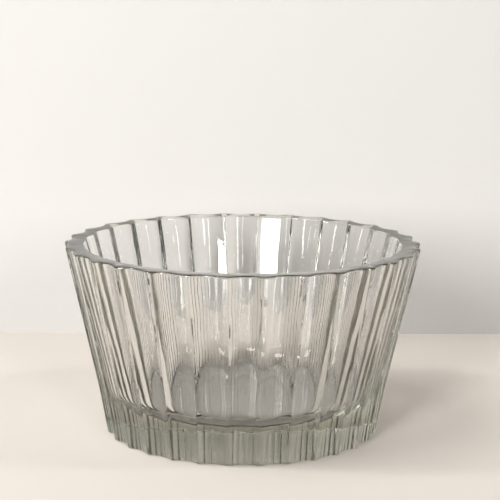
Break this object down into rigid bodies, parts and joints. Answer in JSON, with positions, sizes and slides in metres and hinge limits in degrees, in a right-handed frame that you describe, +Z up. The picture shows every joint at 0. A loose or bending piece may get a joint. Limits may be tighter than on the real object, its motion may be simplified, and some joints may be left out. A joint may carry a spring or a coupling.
{
  "type": "floating candle bowl",
  "caption": "Flared round bowl of clear pressed glass with a fluted outside, smooth inside and thick base, for a candle that floats on water.",
  "frame": {"origin": "centre of the face that the bowl rests on", "axes": "+Z up through the mouth; a flute faces -Y, the side that the picture shows"},
  "size_m": [0.1198, 0.1192, 0.064],
  "materials": {
    "clear_glass": "clear pressed glass, fire polished"
  },
  "bodies": {
    "root": {"bowl": "clear_glass"}
  },
  "joints": []
}
